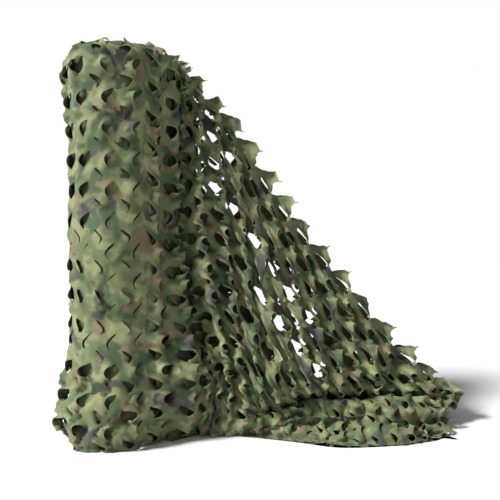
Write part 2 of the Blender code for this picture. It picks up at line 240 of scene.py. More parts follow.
def lay_out(cell, columns):
    """A flat piece of cut net as a plain mesh, and its points' places: x along the net, y down it."""
    carrier = new_object("carrier", bpy.data.meshes.new("carrier"))
    layer = carrier.modifiers.new("cells", "NODES")
    layer.node_group = LAYING_TREE
    for socket, value in (("Cell", cell), ("Columns", columns), ("Rows", CELL_ROWS),
                          ("Pitch along", PITCH), ("Pitch across", DROP), ("Cloth", CAMOUFLAGE)):
        layer[LAYING_SOCKETS[socket]] = value
    graph = bpy.context.evaluated_depsgraph_get()
    mesh = bpy.data.meshes.new_from_object(carrier.evaluated_get(graph))
    carrier.modifiers.remove(layer)
    bpy.data.objects.remove(carrier)
    laid = read_all(mesh.vertices, "co").reshape(-1, 3)[:, :2]
    return mesh, laid - laid.min(0)


def read_all(items, name, width=3, kind=float):
    """One property of all points, edges or corners of a mesh as an array."""
    values = np.empty(width * len(items), kind)
    items.foreach_get(name, values)
    return values


def read_value(mesh, name):
    """A named value of each point as an array."""
    return read_all(mesh.attributes[name].data, "value", 1)


# The print: its base colour, and for each colour over it the tint, size, shift, the limits between which its
# blotches fade in, and stretch.
PRINT_BASE = (0.150, 0.195, 0.082)
PRINTS = (
    ((0.290, 0.315, 0.150), 12.0, 3.1, 0.42, 0.60, 1.3),
    ((0.080, 0.125, 0.052), 12.0, 7.7, 0.52, 0.63, 0.8),
    ((0.235, 0.190, 0.100), 11.0, 12.9, 0.56, 0.66, 1.2),
    ((0.078, 0.080, 0.068), 10.0, 17.3, 0.59, 0.67, 1.0),
)
THREADS = 420.0                # scale of the weave


def make_camouflage(name, bright, rough):
    """Woodland print on matt polyester, laid out on the flat cloth in metres."""
    material = bpy.data.materials.new(name)
    material.use_nodes = True
    tree = material.node_tree
    cloth = new_node(tree, "ShaderNodeUVMap", {}, uv_map="flat_cloth").outputs["UV"]
    colour = (*(bright * part for part in PRINT_BASE), 1)
    for tint, scale, shift, low, high, stretch in PRINTS:
        turn = new_node(tree, "ShaderNodeMapping", {
            "Vector": cloth, "Location": (shift, 1.7 * shift, 0), "Rotation": (0, 0, 0.5 * shift),
            "Scale": (1.0, stretch, 1.0)})
        cloud = new_node(tree, "ShaderNodeTexNoise", {
            "Vector": turn.outputs["Vector"], "Scale": scale, "Detail": 2.0, "Roughness": 0.45,
            "Distortion": 0.5})
        edge = new_node(tree, "ShaderNodeMapRange", {
            "Value": cloud.outputs["Fac"], "From Min": low, "From Max": high},
            interpolation_type="SMOOTHSTEP")
        mix = new_node(tree, "ShaderNodeMix", {
            "Factor": edge.outputs["Result"], "A": colour, "B": (*(bright * part for part in tint), 1)},
            data_type="RGBA")
        colour = mix.outputs["Result"]

    # Plain weave at its own scale, and the fine creases that handling leaves.
    one, other = (new_node(tree, "ShaderNodeTexWave", {"Vector": cloth, "Scale": THREADS},
                           bands_direction=way) for way in ("X", "Y"))
    weave = new_node(tree, "ShaderNodeMath", {0: one.outputs["Fac"], 1: other.outputs["Fac"]},
                     operation="MULTIPLY")
    crease = new_node(tree, "ShaderNodeTexNoise", {"Vector": cloth, "Scale": 48.0, "Detail": 3.0})
    fine = new_node(tree, "ShaderNodeBump", {
        "Height": weave.outputs[0], "Strength": 0.25, "Distance": 0.0004})
    broad = new_node(tree, "ShaderNodeBump", {
        "Height": crease.outputs["Fac"], "Normal": fine.outputs["Normal"], "Strength": 0.35,
        "Distance": 0.004})
    set_inputs(tree, tree.nodes["Principled BSDF"], {
        "Base Color": colour, "Normal": broad.outputs["Normal"], "Roughness": rough, "Sheen Weight": 0.12,
        "Specular IOR Level": 0.35})
    return material


CAMOUFLAGE = make_camouflage("camouflage_print", bright=1.09, rough=0.62)
REVERSE = make_camouflage("camouflage_reverse", bright=0.72, rough=0.75)
CUT_EDGE = make_camouflage("camouflage_cut_edge", bright=1.15, rough=0.8)
# The print darkened to 0.30: painted shade for the closed mass of the roll's inner turns.
INNER_TURNS_PAINTED_SHADE = make_camouflage("camouflage_inner_turns", bright=0.30, rough=0.8)
# The print darkened to 0.36: painted shade for the plies behind the outer cloth, the second turn, the slack
# turn and the inner ply.
PLIES_BEHIND_PAINTED_SHADE = make_camouflage("camouflage_inner_ply", bright=0.36, rough=0.8)
FINE_CELL = make_cut_cell("fine_cell", step=0.0088)
COARSE_CELL = make_cut_cell("coarse_cell", step=0.0145)
LAYING_TREE, LAYING_SOCKETS = make_laying_tree()


# The wound roll. The net is wound tight round itself and stands on its cut ends, so its foot flares under
# the weight and its top rim rolls over. This is the closed mass of its inner turns, whose print is darkened
# as painted shade, so that it shows dark through the gaps of the two outer turns.
ROLL_X = -0.5963
ROLL_Y = -0.0699
LEAVES_AT = math.radians(-50)  # where the outer turn leaves the roll
TURN = 0.0035                  # how much further out the outer turn lies after one turn
# The wound form: height, and its radius on the right, at the back, on the left and in front.
ROLL_PROFILE = np.array((
    (0.00, 0.186, 0.200, 0.226, 0.176),
    (0.07, 0.196, 0.216, 0.244, 0.200),
    (0.18, 0.188, 0.208, 0.212, 0.198),
    (0.32, 0.182, 0.192, 0.188, 0.188),
    (0.52, 0.178, 0.184, 0.178, 0.180),
    (0.80, 0.180, 0.184, 0.187, 0.184),
    (1.05, 0.178, 0.182, 0.175, 0.182),
    (1.25, 0.184, 0.190, 0.188, 0.190),
    (1.36, 0.190, 0.198, 0.202, 0.198),
    (1.44, 0.190, 0.198, 0.206, 0.198),
    (1.49, 0.180, 0.184, 0.190, 0.184),
))
CORE_DEPTH = 0.023             # how far the mass of inner turns lies inside the outer turn
FOOT_DEPTH = 0.010             # how much further in the turns lie at the foot, where the net is loose
FOOT_TOP, FOOT_FADE = 0.30, 0.15   # height below which the turns get loose, and over how much of it
CORE_TOP = 1.455
CORE_SIDES, CORE_RINGS = 120, 90
CORE_MAP_RADIUS = 0.19         # radius at which its print is laid out
TWIST, COUNTER_TWIST, SAG = 0.0035, 0.0025, 0.0020   # heights of the slanting twists and of the sags
LUMP_SCALE, LUMP_DEPTH = 30, 0.004   # waves to a metre and height of the mass's unevenness
DISH = 0.03                    # sink of the roll's top at its middle


def between_knots(t, span, first, first_slope, second, second_slope):
    """Place at t, 0 to 1, on the cubic from the first knot to the second."""
    start = (2 * t**3 - 3 * t**2 + 1) * first + (t**3 - 2 * t**2 + t) * span * first_slope
    end = (3 * t**2 - 2 * t**3) * second + (t**3 - t**2) * span * second_slope
    return start + end


def curve_through(knots, values, at):
    """Smooth curve through the values, whose slope at each knot follows its neighbours."""
    slopes = np.gradient(values, knots, axis=0)
    left = np.clip(np.searchsorted(knots, at, side="right") - 1, 0, len(knots) - 2)
    span = knots[left + 1] - knots[left]
    t = (at - knots[left]) / span
    shape = (-1,) + (1,) * (values.ndim - 1)
    return between_knots(np.reshape(t, shape), np.reshape(span, shape), values[left], slopes[left],
                         values[left + 1], slopes[left + 1])


def from_table(table, at):
    """Smooth values of a table's further columns at places in its first column."""
    return curve_through(table[:, 0], table[:, 1:], at)


def roll_radius(angle, height):
    """Radius of the wound net before its spiral step, with its soft lumps and slanting twists."""
    sides = from_table(ROLL_PROFILE, np.clip(height, 0, NET_WIDTH))
    quarter = (angle / (math.pi / 2)) % 4
    first = quarter.astype(int) % 4
    blend = 0.5 - 0.5 * np.cos(math.pi * (quarter - np.floor(quarter)))
    rows = np.arange(len(sides))
    radius = sides[rows, first] * (1 - blend) + sides[rows, (first + 1) % 4] * blend
    twist = TWIST * np.sin(3 * angle + 9 * height) + COUNTER_TWIST * np.sin(5 * angle - 14 * height + 1.0)
    return radius + twist + SAG * np.sin(31 * height + 2 * angle)


def soft_noise(points, seed):
    """Smooth unevenness, about -1 to 1, at points of one, two or three numbers each."""
    points = points.reshape(len(points), -1)
    points = np.column_stack([points, np.zeros((len(points), 3 - points.shape[1]))])
    shift = Vector((3.7 * seed, 1.9 * seed, 5.3 * seed))
    return np.array([1.6 * noise.noise(Vector(point) + shift) for point in points])


def around_roll(radius, angle, height):
    """Places at a radius and angle from the roll's axis."""
    return np.stack([ROLL_X + radius * np.cos(angle), ROLL_Y + radius * np.sin(angle), height], 1)


def foot_share(height):
    """How loose the net is at each height: 1 at the foot, 0 above it."""
    return np.clip((FOOT_TOP - height) / FOOT_FADE, 0, 1)


def core_rings():
    """Rings of the wound mass from the middle of its foot, up its side and over its dished top."""
    angle = np.arange(CORE_SIDES) * 2 * math.pi / CORE_SIDES
    rings = [(0.35, 0.0006), (0.92, 0.0006)]
    rings += [(1.0, height) for height in np.linspace(0.012, CORE_TOP - 0.012, CORE_RINGS)]
    rings += [(0.96, CORE_TOP), (0.75, CORE_TOP - 0.03), (0.5, CORE_TOP - 0.05), (0.2, CORE_TOP - 0.06)]
    placed = []
    for share, height in rings:
        depth = CORE_DEPTH + FOOT_DEPTH * foot_share(height)
        level = np.full(CORE_SIDES, height)
        radius = (roll_radius(angle, level) - depth) * share
        wide = LUMP_SCALE * radius
        lumps = soft_noise(np.stack([wide * np.cos(angle), wide * np.sin(angle), LUMP_SCALE * level], 1), 11)
        radius += LUMP_DEPTH * lumps * share
        placed.append(around_roll(radius, angle, level))
    return np.array(placed)


def add_piece(name, points, faces, flat, materials):
    """A mesh object whose UV map gives each point's place on the flat cloth."""
    mesh = bpy.data.meshes.new(name)
    mesh.from_pydata(points.tolist(), [], faces)
    corners = read_all(mesh.loops, "vertex_index", 1, np.int32)
    sheet_map = mesh.uv_layers.new(name="flat_cloth")
    sheet_map.data.foreach_set("uv", flat[corners].ravel())
    for material in materials:
        mesh.materials.append(material)
    mesh.shade_smooth()
    return new_object(name, mesh)


rings = core_rings()
count, sides = rings.shape[:2]
points = np.vstack([rings.reshape(-1, 3), rings[0].mean(0), rings[-1].mean(0)])
faces = []
for side in range(sides):
    after = (side + 1) % sides
    for ring in range(count - 1):
        lower, upper = ring * sides, (ring + 1) * sides
        faces.append((lower + side, lower + after, upper + after, upper + side))
    faces.append((count * sides, after, side))
    faces.append((count * sides + 1, (count - 1) * sides + side, (count - 1) * sides + after))
flat = np.stack([CORE_MAP_RADIUS * np.arctan2(points[:, 1] - ROLL_Y, points[:, 0] - ROLL_X),
                 points[:, 2] + np.hypot(points[:, 0] - ROLL_X, points[:, 1] - ROLL_Y)], 1)
# The mass of inner turns gets the print darkened as painted shade.
roll_core = add_piece("roll_core", points, faces, flat, [INNER_TURNS_PAINTED_SHADE])
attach(roll_core, "root")
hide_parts("net_roll")


# The top edges of the wound turns. Each turn is the same net, and its upper selvedge stands up as a thin
# spiral wall with leaf tips, lower towards the middle of the roll.
TURN_PITCH = 0.0115            # from one wound turn to the next
FIRST_RADIUS = 0.022
LAST_RADIUS = 0.158
EDGE_DEPTH = 0.085             # how far down a turn is modelled
EDGE_STEP = 0.010
EDGE_ROWS = (0.0, 0.5, 0.85, 1.0)   # rows of points, from the wall's foot to its tips
TIP_PITCH, TIP_DEPTH = 0.048, 0.020
RIM_RADIUS, RIM_HEIGHT = 0.198, 1.44   # radius that the wall is laid out for, and height where it is fitted


def make_turn_edges():
    """The spiral wall as a grid: four rows from its foot to its leaf tips."""
    turns = (LAST_RADIUS - FIRST_RADIUS) / TURN_PITCH
    length = math.pi * (FIRST_RADIUS + LAST_RADIUS) * turns
    steps = int(length / EDGE_STEP)
    run = np.linspace(0, 1, steps)
    radius = np.sqrt(FIRST_RADIUS**2 + run * (LAST_RADIUS**2 - FIRST_RADIUS**2))
    angle = 2 * math.pi * (radius - FIRST_RADIUS) / TURN_PITCH
    spread = roll_radius(angle, np.full(steps, RIM_HEIGHT)) / RIM_RADIUS
    along = run * length
    sway = soft_noise(along * 14, 21)
    tooth = np.abs(2 * ((along / TIP_PITCH + 0.3 * sway) % 1) - 1)
    top = NET_WIDTH + 0.004 - DISH * (1 - (radius / LAST_RADIUS)**2) + 0.012 * sway - TIP_DEPTH * tooth
    rows = []
    for share in EDGE_ROWS:
        lean = 0.0035 * sway * share + 0.004 * share**2 * np.sin(along * 61)
        rows.append(around_roll((radius + lean) * spread, angle, top - EDGE_DEPTH * (1 - share)))
    points = np.vstack(rows)
    faces = [(first, first + 1, first + steps + 1, first + steps)
             for row in range(len(EDGE_ROWS) - 1) for first in range(row * steps, (row + 1) * steps - 1)]
    flat = np.concatenate([np.stack([along, np.full(steps, EDGE_DEPTH * (1 - share))], 1)
                           for share in EDGE_ROWS])
    return points, faces, flat, length


def thicken(item):
    """Gives the cloth its thickness on its inner side, with crisp cut edges."""
    wall = item.modifiers.new("thickness", "SOLIDIFY")
    wall.thickness = THICKNESS
    wall.offset = -1.0
    wall.use_even_offset = False
    wall.material_offset = 1
    wall.material_offset_rim = 2
    thin = item.data
    thick = bpy.data.meshes.new_from_object(item.evaluated_get(bpy.context.evaluated_depsgraph_get()))
    item.modifiers.remove(wall)
    item.data = thick
    bpy.data.meshes.remove(thin)
    thick.name = item.name
    thick.set_sharp_from_angle(angle=math.radians(70))


points, faces, flat, edge_length = make_turn_edges()
turn_edges = add_piece("wound_turn_edges", points, faces, flat, [CAMOUFLAGE, REVERSE, CUT_EDGE])
thicken(turn_edges)
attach(turn_edges, "root")
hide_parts("net_roll")


# The roll's second turn. It is the same cut net, a centimetre inside the outer one, and closes most of the
# view through its gaps. Its print is darkened as painted shade.
ROLL_COLUMNS = 12
# How the net's width runs over the rim and down the side: place across the net, share of the roll's
# radius, and height.
RIM = np.array((
    (0.000, 0.80, 1.496), (0.020, 0.89, 1.507), (0.040, 0.965, 1.501), (0.062, 1.0, 1.480),
    (0.120, 1.0, 1.420), (1.380, 1.0, 0.112), (1.490, 0.985, 0.004),
))
SECOND_DEPTH = 0.010           # how far inside the outer turn it lies
OUTER_OFF = 0.001              # how far off the wound form the outer turn lies
BESIDE_LIFT = 0.4              # share of a tongue's lift by which the cloth beside it gives way


def on_roll(flat_x, flat_y, off):
    """Place on the roll of a point of the outer turn, whose last column is where it leaves the roll."""
    turn = 2 * math.pi * (1 + flat_x / (ROLL_COLUMNS * PITCH))
    angle = LEAVES_AT + turn
    share, height = from_table(RIM, np.clip(flat_y, 0, NET_WIDTH)).T
    radius = (roll_radius(angle, height) + TURN * turn / (2 * math.pi)) * share + off
    return around_roll(radius, angle, height)


def leaf_weight(mesh):
    """Share of its full lift that each point takes: most at the corner of its cut, none at the ends."""
    place = np.clip(read_value(mesh, "cut_place"), 0, 1)
    return np.sin(math.pi * place**1.6) ** 0.7


def unit(vectors):
    """The vectors at length 1."""
    return vectors / np.maximum(np.linalg.norm(vectors, axis=-1, keepdims=True), 1e-9)


def slopes_of(place_of, flat_x, flat_y, tiny):
    """How far the form goes on over a tiny step to both sides, along the net and across it."""
    along = place_of(flat_x + tiny, flat_y) - place_of(flat_x - tiny, flat_y)
    return along, place_of(flat_x, flat_y + tiny) - place_of(flat_x, flat_y - tiny)


def frame_of(place_of, flat_x, flat_y):
    """Directions along the net and out of it at each point, and the stretch along it."""
    tiny = 0.002
    along, down = slopes_of(place_of, flat_x, flat_y, tiny)
    stretch = np.linalg.norm(along, axis=1) / (2 * tiny)
    return unit(along), unit(np.cross(down, along)), stretch


def hang_behind(name, columns, place_of, gape, lift, reach=None):
    """A ply of coarse net behind the outer one, placed with its leaves open and lifted, in the print darkened
    as painted shade. Reach tells which points of it are there."""
    mesh, flat = lay_out(COARSE_CELL, columns)
    side, kind = read_value(mesh, "cut_side"), read_value(mesh, "cut_kind")
    weight = leaf_weight(mesh) * np.abs(side)
    along, out, _ = frame_of(place_of, flat[:, 0], flat[:, 1])
    place = place_of(flat[:, 0], flat[:, 1])
    gape = gape(flat) if callable(gape) else gape
    place += along * (kind * np.sign(side) * weight * gape)[:, None]
    place += out * (np.where(side > 0, 1.0, -BESIDE_LIFT) * weight * lift)[:, None]
    place[:, 2] = np.maximum(place[:, 2], LYING)
    faces = [tuple(face.vertices) for face in mesh.polygons]
    if reach:
        kept = reach(flat, np.abs(side))
        used, faces = keep_faces([face for face in faces if kept[list(face)].sum() > 1])
        flat, place = flat[used], place[used]
    # The ply's print is darkened as painted shade.
    item = add_piece(name, place, faces, flat, [PLIES_BEHIND_PAINTED_SHADE])
    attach(item, "root")
    return item


def on_second_turn(flat_x, flat_y):
    """The outer turn's place, moved inwards and round by half a cell."""
    depth = SECOND_DEPTH + FOOT_DEPTH * foot_share(NET_WIDTH - flat_y)
    return on_roll(flat_x - ROLL_COLUMNS * PITCH - 0.4 * PITCH, flat_y, -depth)


second_turn = hang_behind("second_turn", ROLL_COLUMNS, on_second_turn, gape=0.007, lift=0.005)
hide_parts("net_roll")


# The slack turn. Pulling the outer turn off has drawn the next one loose with it: it stands off the roll as
# a slack loop behind the drape. It keeps the lower left of the drape dark both by blocking the light and by
# its print, which is darkened as painted shade.
SLACK_COLUMNS = 9
SLACK_TOP = 1.40
SLACK_INSIDE = 0.012           # how far inside the roll's surface the loop starts and ends
SLACK_FROM, SLACK_TO = -0.42, 1.0   # and at which angles, in radians
SLACK_WAVE = 0.014
# Where the loop runs, from the roll's axis: height, and X and Y of its near side, tip and far side.
SLACK = np.array((
    (0.0, 0.27, 0.01, 0.46, 0.09, 0.36, 0.15),
    (0.4, 0.27, 0.02, 0.43, 0.08, 0.34, 0.14),
    (0.8, 0.25, 0.03, 0.36, 0.08, 0.29, 0.14),
    (1.1, 0.23, 0.04, 0.29, 0.08, 0.24, 0.13),
    (1.4, 0.20, 0.05, 0.22, 0.08, 0.20, 0.12),
))


def on_slack_turn(flat_x, flat_y):
    """Place on the slack loop, from the roll's right side out behind the drape and back to its far side."""
    height = SLACK_TOP - flat_y * (SLACK_TOP / NET_WIDTH)
    turn = flat_x / (SLACK_COLUMNS * PITCH)
    reach = from_table(SLACK, height)
    radius = roll_radius(np.full(len(height), 0.2), height) - SLACK_INSIDE
    near, far = (np.stack([radius * math.cos(at), radius * math.sin(at)], 1) for at in (SLACK_FROM, SLACK_TO))
    stops = np.stack([near, reach[:, 0:2], reach[:, 2:4], reach[:, 4:6], far])
    share = np.clip(turn * 4, 0, 3.999)
    left = share.astype(int)
    t = (share - left)[:, None]
    rows = np.arange(len(height))
    before, start = stops[np.maximum(left - 1, 0), rows], stops[left, rows]
    end, beyond = stops[left + 1, rows], stops[np.minimum(left + 2, 4), rows]
    run = 0.5 * (2 * start + (end - before) * t + (2 * before - 5 * start + 4 * end - beyond) * t**2
                 + (3 * start - 3 * end + beyond - before) * t**3)
    wave = SLACK_WAVE * np.sin(9 * height + 14 * turn)
    return np.column_stack([ROLL_X + run[:, 0] + wave, ROLL_Y + run[:, 1] + wave, np.maximum(height, 0.004)])


slack_turn = hang_behind("slack_turn", SLACK_COLUMNS, on_slack_turn, gape=0.012, lift=0.016)
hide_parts("net_loose_end")


# The outer turn and the loose end, which are one length of net. The loose end is pulled off the roll by its
# top selvedge. It laps the roll, drops in a deep pleat and slants down to the floor, where the spare width
# is tucked under in folds.
LOOSE_COLUMNS = 18
FORM_COLUMNS = 15
FORM_ROWS = 12
LOOSE_LENGTH = 1.98            # as hung, along the top selvedge
FOLD_PITCH, FOLD_HEIGHT = 0.21, 0.012   # soft folds along the selvedge
JOIN_LENGTH = 0.07             # how far the loose end still bends with the roll
START_OFF = 0.00175            # how far off the wound form its first line lies
# The pleat from the top down: how far its second line lies off the roll, then the places of the other three.
# This and the drape are measured from the roll's axis.
PLEAT = np.array((
    (0.020, 0.216, -0.062, 0.246, -0.005, 0.280, 0.015),
    (0.014, 0.213, -0.060, 0.240, 0.050, 0.282, 0.000),
    (0.009, 0.206, -0.062, 0.231, 0.090, 0.276, -0.025),
    (0.008, 0.206, -0.068, 0.234, 0.105, 0.280, -0.040),
    (0.014, 0.224, -0.088, 0.264, 0.105, 0.314, -0.050),
    (0.030, 0.258, -0.108, 0.315, 0.080, 0.366, -0.060),
    (0.045, 0.285, -0.104, 0.350, -0.055, 0.420, -0.050),
    (0.018, 0.240, -0.045, 0.320, 0.008, 0.396, 0.000),
))
LAP_AT = math.radians(-33)     # angle of the second line, where the net laps the roll
PLEAT_TOPS = (1.490, 1.490, 1.485, 1.465, 1.430)   # heights of the five lines at the selvedge
PLEAT_ALONG = (0.0, 0.055, 0.12, 0.26, 0.39)       # and their places along it
# Lines down the drape, from the roll out to its tip. Each has its place along the selvedge, X, Y and Z of its
# top, X and Y of its middle, X, Y and Z of its low bulge, how far it is tucked back, the height of that bed,
# Y and Z of the ridge and of the hem in front of it, and X and Y where it ends on the floor.
DRAPE = (
    (0.53, 0.357, 0.045, 1.345, 0.405, -0.010, 0.485, -0.066, 0.170,
     0.040, 0.080, -0.044, 0.050, -0.030, 0.010, 0.46, -0.016),
    (0.74, 0.490, 0.075, 1.170, 0.540, 0.010, 0.605, -0.064, 0.167,
     0.115, 0.001, -0.024, 0.124, -0.036, 0.004, 0.59, -0.050),
    (0.96, 0.630, 0.100, 0.960, 0.670, 0.035, 0.725, -0.040, 0.177,
     0.150, 0.001, 0.004, 0.162, -0.055, 0.036, 0.71, -0.090),
    (1.18, 0.785, 0.120, 0.770, 0.810, 0.070, 0.850, -0.002, 0.177,
     0.190, 0.001, 0.012, 0.164, -0.090, 0.062, 0.84, -0.138),
    (1.40, 0.950, 0.135, 0.570, 0.960, 0.105, 0.985, 0.042, 0.167,
     0.215, 0.001, 0.030, 0.167, -0.084, 0.066, 0.97, -0.134),
    (1.60, 1.115, 0.150, 0.375, 1.110, 0.130, 1.110, 0.075, 0.152,
     0.230, 0.001, 0.040, 0.167, -0.062, 0.066, 1.09, -0.112),
    (1.76, 1.250, 0.160, 0.255, 1.230, 0.145, 1.220, 0.100, 0.132,
     0.235, 0.001, 0.050, 0.158, -0.034, 0.060, 1.18, -0.084),
    (1.88, 1.340, 0.160, 0.178, 1.320, 0.152, 1.310, 0.114, 0.106,
     0.235, 0.001, 0.060, 0.140, -0.018, 0.046, 1.24, -0.058),
    (1.98, 1.422, 0.158, 0.124, 1.405, 0.155, 1.380, 0.124, 0.077,
     0.220, 0.001, 0.070, 0.116, 0.000, 0.030, 1.28, -0.028),
)
LEVELS = len(PLEAT)
FLOOR = 0.00125                # height of the cloth's middle where it lies on the floor


def pleat_lines():
    """Control points of the five lines beside the roll, from the top selvedge to the floor."""
    share = np.linspace(0, 1, LEVELS)
    lines = []
    for number, top in enumerate(PLEAT_TOPS):
        low_end = 0.02 if number else FLOOR
        height = top + (low_end - top) * share
        if number < 2:
            angle = (LEAVES_AT, LAP_AT)[number]
            off = (START_OFF, PLEAT[:, 0])[number]
            radius = roll_radius(np.full(LEVELS, angle), height) + off
            place = np.stack([radius * math.cos(angle), radius * math.sin(angle)], axis=1)
        else:
            place = PLEAT[:, 2 * number - 3:2 * number - 1]
        hang = np.column_stack([place, height])
        step = np.linspace(0, 1, 8)[:, None]
        hem = hang[-1] + step * np.array([0.0, -0.006, FLOOR - hang[-1, 2]])
        lines.append(np.vstack([hang, hem]))
    return lines


def drape_line(top_x, top_y, top_z, mid_x, mid_y, low_x, low_y, low_z, tuck, bed_z, ridge_y, ridge_z,
               hem_y, hem_z, foot_x, foot_y):
    """Control points of one line down the drape: hanging part, low bulge, tuck, ridge and hem."""
    share = np.linspace(0, 1, LEVELS)[:, None]
    top = np.array([top_x, top_y, top_z])
    low_end = np.array([low_x, low_y, low_z])
    middle = np.array([mid_x, mid_y, (top_z + low_z) / 2])
    hang = (1 - share) * (1 - 2 * share) * top + 4 * share * (1 - share) * middle
    hang = hang + share * (2 * share - 1) * low_end
    drift = (foot_x - low_x) / 7
    drop = low_z - bed_z
    back_y = low_y + tuck
    floor = (
        (low_y + 0.65 * tuck, low_z - 0.18 * drop),
        (back_y, low_z - 0.60 * drop),
        (low_y + 0.85 * tuck, bed_z),
        (ridge_y + 0.45 * (back_y - ridge_y), 0.84 * bed_z + 0.16 * ridge_z),
        (ridge_y, ridge_z),
        ((ridge_y + hem_y) / 2 - 0.004, 0.18 * hem_z),
        (hem_y, hem_z),
        (foot_y, 0.0),
    )
    lying = [(low_x + drift * number, y, max(z, FLOOR)) for number, (y, z) in enumerate(floor)]
    return np.vstack([hang, lying])


def net_surface(along, across):
    """Middle surface of the loose end: along the net from the roll, across it from the top selvedge."""
    lines = np.array(pleat_lines() + [drape_line(*row[1:]) for row in DRAPE])
    places = np.array(PLEAT_ALONG + tuple(row[0] for row in DRAPE))
    sections = curve_through(places, lines, along)
    surface = np.empty((len(along), len(across), 3))
    for number, section in enumerate(sections):
        chord = np.linalg.norm(np.diff(section, axis=0), axis=1)
        knots = np.concatenate([[0], np.cumsum(np.sqrt(np.maximum(chord, 1e-4)))])
        fine = curve_through(knots, section, np.linspace(0, knots[-1], 400))
        length = lengths_along(fine)
        for axis in range(3):
            surface[number, :, axis] = np.interp(across * length[-1], length, fine[:, axis])
    return surface


def cell_lines(cells):
    """Lines from 0 to 1, three to a cell."""
    lines = [(cell + place) / cells for cell in range(cells) for place in (0, 0.35, 0.65)]
    return np.array(lines + [1.0])


def ramp(values, start, length):
    """0 up to the start, and from there evenly up to 1 over the length."""
    return np.clip((values - start) / length, 0, 1)


def hung_grid():
    """The hung form on a grid, its tight bends eased and its soft folds along the selvedge raised."""
    along = cell_lines(FORM_COLUMNS) * LOOSE_LENGTH
    across = cell_lines(FORM_ROWS)
    grid = net_surface(along, across)
    for _ in range(2):
        grid[1:-1, 1:-1] = 0.5 * grid[1:-1, 1:-1] + 0.25 * (grid[1:-1, :-2] + grid[1:-1, 2:])
        grid[1:-1, 1:-1] = 0.5 * grid[1:-1, 1:-1] + 0.25 * (grid[:-2, 1:-1] + grid[2:, 1:-1])
    normal = unit(np.cross(np.gradient(grid, axis=1), np.gradient(grid, axis=0)))
    depth = across[None, :] * NET_WIDTH
    fade = ramp(along[:, None], 0.45, 0.25) * ramp(grid[:, :, 2], 0.16, 0.10)
    wave = np.sin(2 * math.pi * depth / FOLD_PITCH + 0.8 * np.sin(3.1 * along[:, None]))
    grid = grid + normal * (FOLD_HEIGHT * fade * wave)[:, :, None]
    return along, across, grid + np.array([ROLL_X, ROLL_Y, 0])


GRID_ALONG, GRID_ACROSS, GRID = hung_grid()
GRID_SLOPE = np.gradient(GRID, GRID_ACROSS, axis=1)
# The pulled net is stretched along the slant and not beside the roll: flat length and hung length.
PULL = np.array(((0.0, 0.0), (0.20, 0.20), (0.44, 0.45), (0.80, 0.86), (1.26, 1.41), (1.728, 1.98)))


def on_loose_end(flat_x, flat_y):
    """Place on the hung form of a point of the flat cloth."""
    hung = curve_through(PULL[:, 0], PULL[:, 1], np.clip(flat_x, -0.05, 1.75))
    lines = curve_through(GRID_ALONG, np.concatenate([GRID, GRID_SLOPE], axis=2), hung)
    share = np.clip(flat_y / NET_WIDTH, -0.03, 1.0)
    left = np.clip(np.searchsorted(GRID_ACROSS, share, side="right") - 1, 0, len(GRID_ACROSS) - 2)
    span = (GRID_ACROSS[left + 1] - GRID_ACROSS[left])[:, None]
    t = (share - GRID_ACROSS[left])[:, None] / span
    rows = np.arange(len(share))
    first, second = lines[rows, left], lines[rows, left + 1]
    place = between_knots(t, span, first[:, :3], first[:, 3:], second[:, :3], second[:, 3:])
    # Its first column goes on from the roll's outer turn.
    share = ramp(flat_x, 0, JOIN_LENGTH)[:, None]
    share = share * share * (3 - 2 * share)
    rolled = on_roll(np.minimum(flat_x, JOIN_LENGTH), flat_y, OUTER_OFF)
    return rolled * (1 - share) + place * share


# The inner ply of the loose end. The net comes off the roll doubled, and its inner ply hangs a few fingers'
# width behind the outer one down to the floor, so that most gaps of the drape look dark. This is a guess.
# Its print is darkened as painted shade.
PLY_DEPTH = 0.060              # its mean distance
PLY_SHIFT = 0.03               # how much lower than the outer ply its cuts lie
PLY_LIMIT = 0.245              # how far back the ply may hang before it is pressed flat
PLY_PRESS = 0.035              # how much further back it gets at most
# Where light shows through the drape, in a band beside the roll and one further out: middle and half width
# along the net and across it.
LIGHT_BANDS = ((0.50, 0.15, 0.22, 0.20), (0.87, 0.20, 0.43, 0.22))


def on_inner_ply(flat_x, flat_y):
    """Place behind the drape: close to it beside the roll and at the top selvedge, further back elsewhere,
    and hardly further back than the fold that is tucked under."""
    place = on_loose_end(flat_x, flat_y + PLY_SHIFT)
    back = PLY_DEPTH * np.clip(flat_x / 0.3, 0.35, 1) * np.clip(flat_y / 0.15, 0.4, 1)
    _, out, _ = frame_of(on_loose_end, flat_x, flat_y + PLY_SHIFT)
    back = back * (1 + 0.25 * np.sin(9 * flat_x + 4 * flat_y))
    place = place - out * back[:, None]
    beyond = np.maximum(place[:, 1] - PLY_LIMIT, 0)
    place[:, 1] += PLY_PRESS * np.tanh(beyond / PLY_PRESS) - beyond
    return place


def see_through(flat):
    """How much light shows through the drape, 0 to 1."""
    return np.maximum(*(np.exp(-((flat[:, 0] - x) / wide)**4 - ((flat[:, 1] - y) / high)**4)
                        for x, wide, y, high in LIGHT_BANDS))


def ply_gape(flat):
    """Half the opening of the ply's cuts, wider where light shows through."""
    return 0.006 + 0.012 * see_through(flat)


def ply_reach(flat, near_cut):
    """Which points of the ply are there: only thin strips of it are left where light shows through."""
    open_there = (see_through(flat) > 0.5) & (near_cut > 0.52)
    return (flat[:, 0] > 0.09) & ~open_there


inner_ply = hang_behind("inner_ply", LOOSE_COLUMNS, on_inner_ply, gape=ply_gape, lift=0.016,
                        reach=ply_reach)
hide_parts("net_loose_end")


